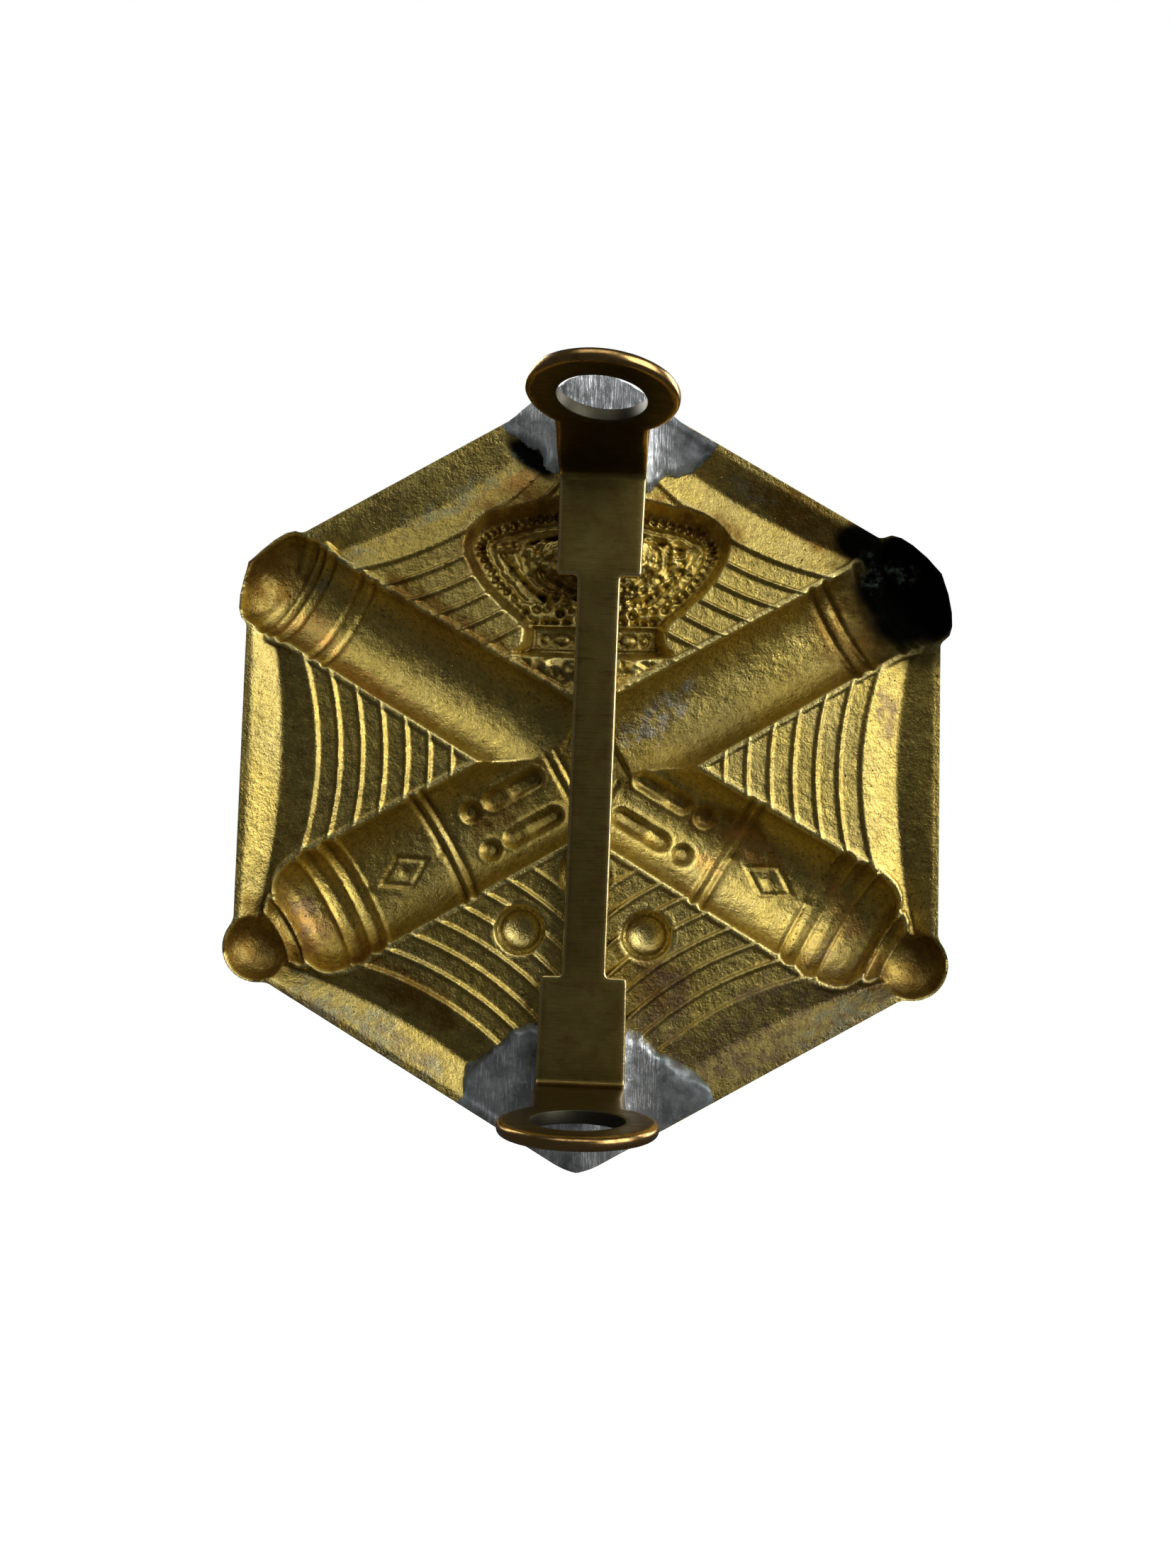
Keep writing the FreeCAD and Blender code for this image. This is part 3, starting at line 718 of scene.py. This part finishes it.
def strap_pieces():
    """Edge loops, each with the rounding of its edge and which side of it is metal."""
    outer = stepped(strap_outline())
    rounding = 0.12 + 0.2 * ease((np.abs(outer[:, 1]) - UPPER_EAR.end - 2) / 3)
    made = [(outer, rounding)]
    for middle in (-LOWER_EAR.hole, UPPER_EAR.hole):
        hole = stepped(arc(middle, HOLE_RADIUS, 360, 4))
        made.append((hole, np.full(len(hole), 0.07)))
    return made


def inward(loop):
    """Unit normals of an outline that point into the metal on its left."""
    way = np.roll(loop, -1, axis=0) - np.roll(loop, 1, axis=0)
    way /= np.hypot(*way.T)[:, None]
    return np.stack([-way[:, 1], way[:, 0]], 1)


def strap_fill(loops):
    """Triangles over the flat of the strap, between its innermost edge rows."""
    flat = np.concatenate(loops)
    alongs = np.concatenate([np.arange(-LOWER_EAR.hole - LOOP_RADIUS, UPPER_EAR.hole + LOOP_RADIUS, 0.45),
                             np.arange(UPPER_EAR.start, UPPER_EAR.end, 0.14),
                             np.arange(-LOWER_EAR.end, -LOWER_EAR.start, 0.14)])
    across, along = np.meshgrid(np.arange(-4.5, 4.6, 0.45), np.sort(alongs), indexing="ij")
    across = across + 0.02 * np.sin(7 * along)
    gaps = [loop_distance(across, along, loop.tolist())[0] for loop in loops]
    room = (gaps[0] > 0.2) & (gaps[1] < -0.2) & (gaps[2] < -0.2)
    extra = np.stack([across[room], along[room]], 1)
    points = [Vector(p) for p in np.concatenate([flat, extra])]
    edges, first = [], 0
    for loop in loops:
        edges += [(first + i, first + (i + 1) % len(loop)) for i in range(len(loop))]
        first += len(loop)
    made = geometry.delaunay_2d_cdt(points, edges, [], 0, 1e-7)
    place, triangles, origins = made[0], np.array(made[2]), made[3]
    middles = np.array([p[:] for p in place])[triangles].mean(1)
    gaps = [loop_distance(middles[:, 0], middles[:, 1], loop.tolist())[0] for loop in loops]
    metal = (gaps[0] > 0) & (gaps[1] < 0) & (gaps[2] < 0)
    return extra, np.array([o[0] for o in origins])[triangles[metal]]


def strap():
    """The flat pattern with rounded edges, bent at both ends."""
    turns = np.radians([0, 22.5, 45, 67.5, 90])
    pieces = strap_pieces()
    sizes = [len(loop) for loop, _ in pieces]
    starts = np.concatenate([[0], np.cumsum(sizes)[:-1]])
    edge_count = sum(sizes)
    rows = []
    for turn in turns:
        flat = np.concatenate([loop + inward(loop) * (rounding * (1 - math.cos(turn)))[:, None]
                               for loop, rounding in pieces])
        drop = np.concatenate([rounding for _, rounding in pieces]) * (1 - math.sin(turn))
        rows.append((flat, GAUGE / 2 - drop))
    innermost = np.split(rows[-1][0], np.cumsum(sizes)[:-1])
    extra, triangles = strap_fill(innermost)
    flats, levels, faces = [], [], []
    per_side = edge_count * len(turns) + len(extra)
    for side in (1, -1):
        flats += [flat for flat, _ in rows] + [extra]
        levels += [side * level for _, level in rows] + [np.full(len(extra), side * GAUGE / 2)]
        shift = per_side if side < 0 else 0
        inner = edge_count * (len(turns) - 1) + shift
        corners = triangles + inner
        faces += (corners if side > 0 else corners[:, ::-1]).tolist()
    for size, start in zip(sizes, starts):
        here = np.arange(size) + start
        ahead = np.roll(np.arange(size), -1) + start
        stack = [per_side + edge_count * k for k in range(len(turns) - 1, -1, -1)]
        stack += [edge_count * k for k in range(len(turns))]
        for low, high in zip(stack, stack[1:]):
            faces += np.stack([here + low, ahead + low, ahead + high, here + high], 1).tolist()
    flat, level = np.concatenate(flats), np.concatenate(levels)
    across, along = flat[:, 0], flat[:, 1]
    level = level + 0.012 * rough(across, along, 2.5, 21)
    upper = np.stack(UPPER_EAR.bent(across, along, level), 1)
    lower = np.stack(LOWER_EAR.bent(across, -along, level), 1)
    place = np.where((along > 0)[:, None], upper, lower)
    x = place[:, 0] * math.cos(STRAP_SKEW) + place[:, 2] * math.sin(STRAP_SKEW) + STRAP_PLACE
    z = place[:, 2] * math.cos(STRAP_SKEW) - place[:, 0] * math.sin(STRAP_SKEW)
    mesh = bpy.data.meshes.new("strap")
    mesh.from_pydata((np.stack([x, place[:, 1], z], 1) * MM).tolist(), [], faces)
    tidy = bmesh.new()
    tidy.from_mesh(mesh)
    bmesh.ops.recalc_face_normals(tidy, faces=tidy.faces)
    tidy.to_mesh(mesh)
    tidy.free()
    mesh.shade_smooth()
    mesh.set_sharp_from_angle(angle=math.radians(40))
    piece = bpy.data.objects.new("strap", mesh)
    bpy.context.scene.collection.objects.link(piece)
    vertex_values(piece, "pattern_across", across)
    vertex_values(piece, "pattern_along", along)
    edge_rows = np.concatenate([np.ones(edge_count * (len(turns) - 1)), np.full(edge_count, 0.8),
                                np.zeros(len(extra))])
    vertex_values(piece, "edge", np.tile(edge_rows, 2))
    round_bores = np.arange(edge_count) >= sizes[0]
    bore_rows = np.concatenate([np.tile(round_bores, len(turns)), np.zeros(len(extra))])
    vertex_values(piece, "bore", np.tile(bore_rows, 2))
    return piece


# Solder


def pool(name, outline, level, overflow, seed):
    """Solder that fills one corner of the hollow, thins out at its ragged shore and wets the rim."""
    loop = rounded_loop(outline, 6)

    def shore(x, z):
        gap, _ = loop_distance(x, z, loop)
        return gap + 0.16 * rough(x, z, 1.1, seed)

    def inside(x, z):
        beyond = overflow * ease((np.abs(z) - TIP_START) / 2) * (1 + 0.3 * rough(x, z, 1.4, seed + 9))
        wetted = sheet_inside(x, z) - 0.06 + beyond
        return np.minimum(shore(x, z), np.minimum(wetted, CAD_HIGH[2] / MM - 0.03 - np.abs(z)))

    xs = np.arange(-POOL_REACH, POOL_REACH, POOL_STEP)
    upper = outline[0][1] > 0
    start, end = (UPPER_POOL_START, GRID_REACH_Z) if upper else (-GRID_REACH_Z, LOWER_POOL_START)
    zs = np.arange(start, end, POOL_STEP)
    x, z, quads = fitted_grid(xs, zs, inside)
    sheet = relief(x, z, True)
    gap = np.maximum(inside(x, z), 0)
    thick = 0.04 + 1.4 * (1 - np.exp(-np.maximum(shore(x, z), 0) / 0.75))
    lumps = 0.06 * rough(x, z, 1.8, seed + 5)
    beside = np.abs(x - STRAP_PLACE - z * math.tan(STRAP_SKEW)) - PAD_HALF
    climb = 0.3 * np.exp(-np.maximum(beside, 0) / 0.3)
    back = smooth_max(level + lumps - climb, sheet - thick, 0.2)
    back = np.minimum(back, sheet - 0.03 - 0.05 * ease(gap / 0.3))
    front = sheet + 0.02 + 0.35 * ease(0.5 - sheet_inside(x, z) / 0.2)
    piece = two_sided(name, x, z, back, front, quads)
    vertex_values(piece, "shore", np.tile(1 - ease(shore(x, z) / 0.6), 2))
    filed = np.where(x > STRAP_PLACE, ease((2.7 - beside) / 1.4), 0.2)
    filed = np.maximum(filed, ease((z - TIP_START) / 1.2))
    vertex_values(piece, "filed", np.tile(filed, 2))
    return piece


# Materials


class Finish:
    """Builds one material's nodes. Texture sizes are in millimetres."""

    def __init__(self, name):
        self.material = bpy.data.materials.new(name)
        self.material.use_nodes = True
        self.tree = self.material.node_tree
        self.shader = self.tree.nodes["Principled BSDF"]
        self.place = self.tree.nodes.new("ShaderNodeTexCoord").outputs["Object"]

    def feed(self, socket, value):
        if isinstance(value, bpy.types.NodeSocket):
            self.tree.links.new(value, socket)
        else:
            socket.default_value = value

    def scaled(self, stretch, offset, place=None):
        mapping = self.tree.nodes.new("ShaderNodeMapping")
        self.feed(mapping.inputs["Vector"], place or self.place)
        mapping.inputs["Scale"].default_value = [part / MM for part in stretch]
        mapping.inputs["Location"].default_value = (offset, 2 * offset, -offset)
        return mapping.outputs["Vector"]

    def noise(self, size, offset=0.0, detail=4, stretch=(1, 1, 1), place=None):
        made = self.tree.nodes.new("ShaderNodeTexNoise")
        self.feed(made.inputs["Vector"], self.scaled(stretch, offset, place))
        made.inputs["Scale"].default_value = 1 / size
        made.inputs["Detail"].default_value = detail
        made.inputs["Roughness"].default_value = 0.62
        return made.outputs["Fac"]

    def cells(self, size, offset=0.0):
        made = self.tree.nodes.new("ShaderNodeTexVoronoi")
        self.feed(made.inputs["Vector"], self.scaled((1, 1, 1), offset))
        made.inputs["Scale"].default_value = 1 / size
        return made.outputs["Distance"]

    def attribute(self, name):
        made = self.tree.nodes.new("ShaderNodeAttribute")
        made.attribute_name = name
        return made.outputs["Fac"]

    def span(self, value, low, high, start=0.0, end=1.0):
        """Value eased from low to high into start to end."""
        made = self.tree.nodes.new("ShaderNodeMapRange")
        made.interpolation_type = "SMOOTHSTEP"
        for socket, number in zip(made.inputs, (value, low, high, start, end)):
            self.feed(socket, number)
        return made.outputs["Result"]

    def maths(self, operation, first, second, clamp=False):
        made = self.tree.nodes.new("ShaderNodeMath")
        made.operation = operation
        made.use_clamp = clamp
        self.feed(made.inputs[0], first)
        self.feed(made.inputs[1], second)
        return made.outputs[0]

    def times(self, first, second):
        return self.maths("MULTIPLY", first, second)

    def mix(self, share, first, second):
        made = self.tree.nodes.new("ShaderNodeMix")
        made.data_type = "RGBA"
        for socket, value in zip((made.inputs[0], made.inputs[6], made.inputs[7]), (share, first, second)):
            self.feed(socket, (*value, 1) if isinstance(value, tuple) else value)
        return made.outputs[2]

    def blend(self, share, first, second):
        made = self.tree.nodes.new("ShaderNodeMix")
        for socket, value in zip((made.inputs[0], made.inputs[2], made.inputs[3]), (share, first, second)):
            self.feed(socket, value)
        return made.outputs[0]

    def bump(self, height, depth, after=None):
        """Relief of this depth in millimetres, on top of any before it."""
        made = self.tree.nodes.new("ShaderNodeBump")
        made.inputs["Strength"].default_value = 1
        made.inputs["Distance"].default_value = depth * MM
        self.feed(made.inputs["Height"], height)
        if after:
            self.feed(made.inputs["Normal"], after)
        return made.outputs["Normal"]

    def finish(self, **sockets):
        for name, value in sockets.items():
            self.feed(self.shader.inputs[name.replace("_", " ")], value)
        return self.material


def struck_brass():
    """Grainy yellow brass with brown tarnish, dark pits, verdigris and oxide tints, with dirt and
    painted shade in recesses and among the brown blotches, and painted highlights on raised places
    and in the cannonball bowls.
    """
    f = Finish("struck_brass")
    broad, middling, fine, grit = f.noise(5.5, 3), f.noise(1.3, 8), f.noise(0.32, 1), f.noise(0.14, 2, 5)
    colour = f.mix(f.span(broad, 0.35, 0.68), (0.66, 0.50, 0.125), (0.56, 0.44, 0.14))
    colour = f.mix(f.span(middling, 0.45, 0.75, 0, 0.6), colour, (0.40, 0.29, 0.065))
    colour = f.mix(f.span(fine, 0.45, 0.75, 0, 0.6), colour, (0.33, 0.25, 0.06))
    hollow = f.attribute("hollow")
    bowl_polish_and_highlight = f.attribute("polished_bowl_highlight")
    # dirt and painted shade: darker where the sheet lies deeper than its surroundings, less so in the
    # cannonball bowls
    dirt_and_shade = f.span(f.maths("ADD", hollow, f.times(fine, 0.25)), 0.16, 0.8, 0, 0.88)
    dirt_and_shade = f.times(dirt_and_shade, f.maths("SUBTRACT", 1.0, f.times(bowl_polish_and_highlight, 0.85)))
    colour = f.mix(dirt_and_shade, colour, (0.15, 0.09, 0.02))
    # wear and painted highlight: lighter brass on raised places and in the cannonball bowls
    wear_and_highlight = f.maths("MAXIMUM", f.span(hollow, -0.12, -0.5, 0, 0.8), f.times(bowl_polish_and_highlight, 0.7))
    colour = f.mix(wear_and_highlight, colour, (0.80, 0.66, 0.24))
    # brown tarnish, and painted shade where the brown blotches lie in shade
    brown = f.times(f.attribute("brown"), f.span(middling, 0.25, 0.6, 0.3, 0.9))
    colour = f.mix(brown, colour, (0.23, 0.125, 0.022))
    orange = f.times(f.attribute("orange"), f.span(middling, 0.3, 0.65, 0.1, 0.7))
    colour = f.mix(orange, colour, (0.60, 0.31, 0.08))
    purple = f.times(f.attribute("purple"), f.span(f.noise(0.8, 15), 0.35, 0.65, 0.1, 0.75))
    colour = f.mix(purple, colour, (0.22, 0.15, 0.095))
    pale = f.times(f.attribute("pale"), f.span(f.noise(0.9, 25), 0.4, 0.62, 0, 0.7))
    colour = f.mix(pale, colour, (0.36, 0.35, 0.2))
    silver = f.times(f.attribute("silver"), f.span(f.noise(0.8, 35, 6), 0.4, 0.56, 0, 0.75))
    colour = f.mix(silver, colour, (0.50, 0.46, 0.38))
    spots = f.maths("ADD", f.cells(0.55, 5), f.times(f.noise(2.0, 18), 0.5))
    pits = f.span(spots, 0.34, 0.26)
    specks = f.span(f.noise(0.2, 21, 5), 0.56, 0.68, 0, 0.65)
    colour = f.mix(f.maths("MAXIMUM", f.times(pits, 0.8), specks), colour, (0.07, 0.037, 0.009))
    black = f.attribute("black")
    colour = f.mix(black, colour, (0.006, 0.007, 0.005))
    green = f.times(f.attribute("green"), f.span(f.noise(0.5, 45, 6), 0.45, 0.7, 0, 0.8))
    colour = f.mix(green, colour, (0.02, 0.04, 0.024))
    sheen = f.span(f.noise(0.9, 28), 0.3, 0.7, 0.25, 0.4)
    sheen = f.blend(f.times(f.maths("MAXIMUM", brown, purple), 0.6), sheen, 0.5)
    sheen = f.blend(f.maths("MAXIMUM", black, green), sheen, 0.85)
    sheen = f.blend(bowl_polish_and_highlight, sheen, 0.22)
    metal = f.maths("SUBTRACT", 1.0, green, True)
    grain = f.bump(grit, 0.04)
    grain = f.bump(f.noise(0.45, 12, 3), 0.06, grain)
    grain = f.bump(f.times(pits, -1.0), 0.03, grain)
    return f.finish(Base_Color=colour, Metallic=metal, Roughness=sheen, Normal=grain)


def pattern_place(f):
    """Place on the strap's flat pattern, so that tool marks follow the bends."""
    made = f.tree.nodes.new("ShaderNodeCombineXYZ")
    f.feed(made.inputs["X"], f.times(f.attribute("pattern_across"), MM))
    f.feed(made.inputs["Z"], f.times(f.attribute("pattern_along"), MM))
    return made.outputs["Vector"]


def strap_brass():
    """Cold-rolled brass, brushed across, dark with age and bright along its edges; the loops are dark
    with tarnish and painted shade.
    """
    f = Finish("strap_brass")
    flat = pattern_place(f)
    brushed = f.noise(0.5, 4, 6, (0.22, 1, 3.6), flat)
    cloudy = f.noise(2.2, 6, 4)
    blotchy = f.noise(0.9, 9, 5, (0.6, 1, 1), flat)
    colour = f.mix(f.span(cloudy, 0.35, 0.65), (0.42, 0.33, 0.095), (0.30, 0.22, 0.055))
    colour = f.mix(f.span(brushed, 0.42, 0.6, 0, 0.75), colour, (0.17, 0.12, 0.032))
    colour = f.mix(f.span(blotchy, 0.5, 0.68, 0, 0.55), colour, (0.24, 0.12, 0.045))
    reach = f.maths("ABSOLUTE", f.attribute("pattern_along"), 0.0)
    waist = f.span(reach, UPPER_SHOULDER + 1, UPPER_SHOULDER - 1, 0, 0.4)
    colour = f.mix(waist, colour, (0.10, 0.07, 0.02))
    ear = f.span(reach, UPPER_EAR.end - 1, UPPER_EAR.end + 1)
    # loops beyond the bends: dark tarnish and painted shade
    colour = f.mix(f.times(ear, 0.85), colour, (0.05, 0.026, 0.005))
    edge = f.attribute("edge")
    worn = f.times(f.span(edge, 0.5, 1.0), f.span(f.noise(0.7, 7), 0.25, 0.5, 0.35, 1.0))
    colour = f.mix(worn, colour, f.mix(ear, (0.80, 0.64, 0.30), (0.50, 0.31, 0.11)))
    bore = f.attribute("bore")
    colour = f.mix(bore, colour, (0.075, 0.068, 0.045))
    sheen = f.blend(worn, f.span(brushed, 0.3, 0.7, 0.3, 0.46), 0.24)
    sheen = f.blend(bore, sheen, 0.5)
    marks = f.bump(brushed, 0.009)
    marks = f.bump(f.noise(1.4, 3, 2), 0.02, marks)
    return f.finish(Base_Color=colour, Metallic=1.0, Roughness=sheen, Normal=marks)


def solder():
    """Lead-tin solder, blue-grey and dull, with bright file marks and a pale oxide shore."""
    f = Finish("solder")
    cloudy, fine = f.noise(1.6, 2, 5), f.noise(0.3, 6, 4)
    colour = f.mix(f.span(cloudy, 0.35, 0.65), (0.115, 0.123, 0.125), (0.22, 0.235, 0.235))
    filed = f.attribute("filed")
    colour = f.mix(f.times(filed, 0.5), colour, (0.42, 0.44, 0.44))
    lines = f.noise(0.45, 8, 3, (5, 1, 0.28))
    slants = f.noise(0.5, 19, 3, (1.6, 1, 1.1))
    strokes = f.maths("MAXIMUM", f.span(lines, 0.52, 0.6), f.span(slants, 0.6, 0.66, 0, 0.7))
    strokes = f.times(f.times(strokes, filed), f.span(f.noise(1.3, 14), 0.38, 0.56))
    colour = f.mix(strokes, colour, (0.92, 0.95, 0.95))
    shore = f.times(f.attribute("shore"), f.span(f.noise(0.9, 41, 5), 0.42, 0.6, 0, 0.8))
    colour = f.mix(shore, colour, (0.26, 0.31, 0.31))
    soot = f.span(f.noise(2.3, 31, 5), 0.52, 0.68, 0, 0.75)
    colour = f.mix(f.times(soot, f.maths("SUBTRACT", 1.0, filed)), colour, (0.045, 0.046, 0.044))
    bright = f.maths("MAXIMUM", strokes, f.times(filed, 0.4))
    sheen = f.blend(bright, f.span(fine, 0.3, 0.7, 0.45, 0.62), 0.24)
    marks = f.bump(f.times(lines, filed), 0.03)
    marks = f.bump(f.noise(0.5, 5, 4), 0.04, marks)
    return f.finish(Base_Color=colour, Metallic=0.85, Roughness=sheen, Normal=marks)


def floor_white():
    f = Finish("floor_white")
    return f.finish(Base_Color=(0.3, 0.3, 0.3, 1), Roughness=0.9,
                    Emission_Color=(1, 1, 1, 1), Emission_Strength=1.0)


# Stage, lights and camera


def stage():
    mesh = bpy.data.meshes.new("floor")
    level = CAD_LOW[2] - FLOOR_GAP
    corners = [(x * FLOOR_REACH, y * FLOOR_REACH, level) for x, y in ((-1, -1), (1, -1), (1, 1), (-1, 1))]
    mesh.from_pydata(corners, [], [(0, 1, 2, 3)])
    floor = bpy.data.objects.new("floor", mesh)
    bpy.context.scene.collection.objects.link(floor)
    mesh.materials.append(floor_white())
    floor.visible_glossy = False


def surroundings():
    """White where the camera looks, dim where the metal does."""
    world = bpy.data.worlds.new("surroundings")
    bpy.context.scene.world = world
    world.use_nodes = True
    tree = world.node_tree
    seen = tree.nodes.new("ShaderNodeLightPath").outputs["Is Camera Ray"]
    strength = tree.nodes.new("ShaderNodeMapRange")
    for socket, value in zip(strength.inputs, (None, 0, 1, 0.05, 1.0)):
        if value is not None:
            socket.default_value = value
    tree.links.new(seen, strength.inputs[0])
    background = tree.nodes["Background"]
    background.inputs[0].default_value = (1, 1, 1, 1)
    tree.links.new(strength.outputs[0], background.inputs[1])


def softbox(name, place, size, power):
    data = bpy.data.lights.new(name, "AREA")
    data.shape = "RECTANGLE"
    data.size, data.size_y = size
    data.energy = power
    made = bpy.data.objects.new(name, data)
    made.location = place
    made.rotation_euler = (-Vector(place)).to_track_quat("-Z", "Y").to_euler()
    bpy.context.scene.collection.objects.link(made)


def camera():
    """The camera looks at the back from 100 mm away, from a little below its middle."""
    tipped = Matrix.Rotation(CAMERA_ROLL, 3, "Z") @ Matrix.Rotation(CAMERA_TILT, 3, "X")
    to_badge = (tipped @ Matrix.Rotation(CAMERA_TURN, 3, "Y")).transposed()
    place = to_badge @ Vector(CAMERA_PLACE)
    to_row = Matrix(((1, 0, 0), (0, 0, -1), (0, 1, 0)))
    data = bpy.data.cameras.new("camera")
    data.sensor_width, data.lens = SENSOR, LENS
    data.clip_start, data.clip_end = 0.005, 50
    made = bpy.data.objects.new("camera", data)
    made.matrix_world = Matrix.Translation(to_row @ place * MM) @ (to_row @ to_badge).to_4x4()
    bpy.context.scene.collection.objects.link(made)
    bpy.context.scene.camera = made


def add(piece, node, material):
    piece.data.materials.append(material)
    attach(piece, "root")
    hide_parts(node)


add(struck_badge(), "badge_shell", struck_brass())
add(strap(), "fixing_strap", strap_brass())
grey = solder()
add(pool("upper_pool", UPPER_POOL, 0.14, 0.42, 50), "solder_top", grey)
add(pool("lower_pool", LOWER_POOL, 0.12, 0.0, 60), "solder_bottom", grey)

camera()
stage()
surroundings()
softbox("key", (0.19, -0.14, 0.08), (0.2, 0.2), 0.52)
softbox("above", (-0.03, -0.16, 0.2), (0.2, 0.12), 0.1)
softbox("front_left", (-0.2, 0.2, 0.15), (0.2, 0.2), 0.8)
softbox("front_right", (0.25, 0.16, 0.1), (0.15, 0.2), 0.5)
bpy.context.scene.view_settings.view_transform = "Standard"
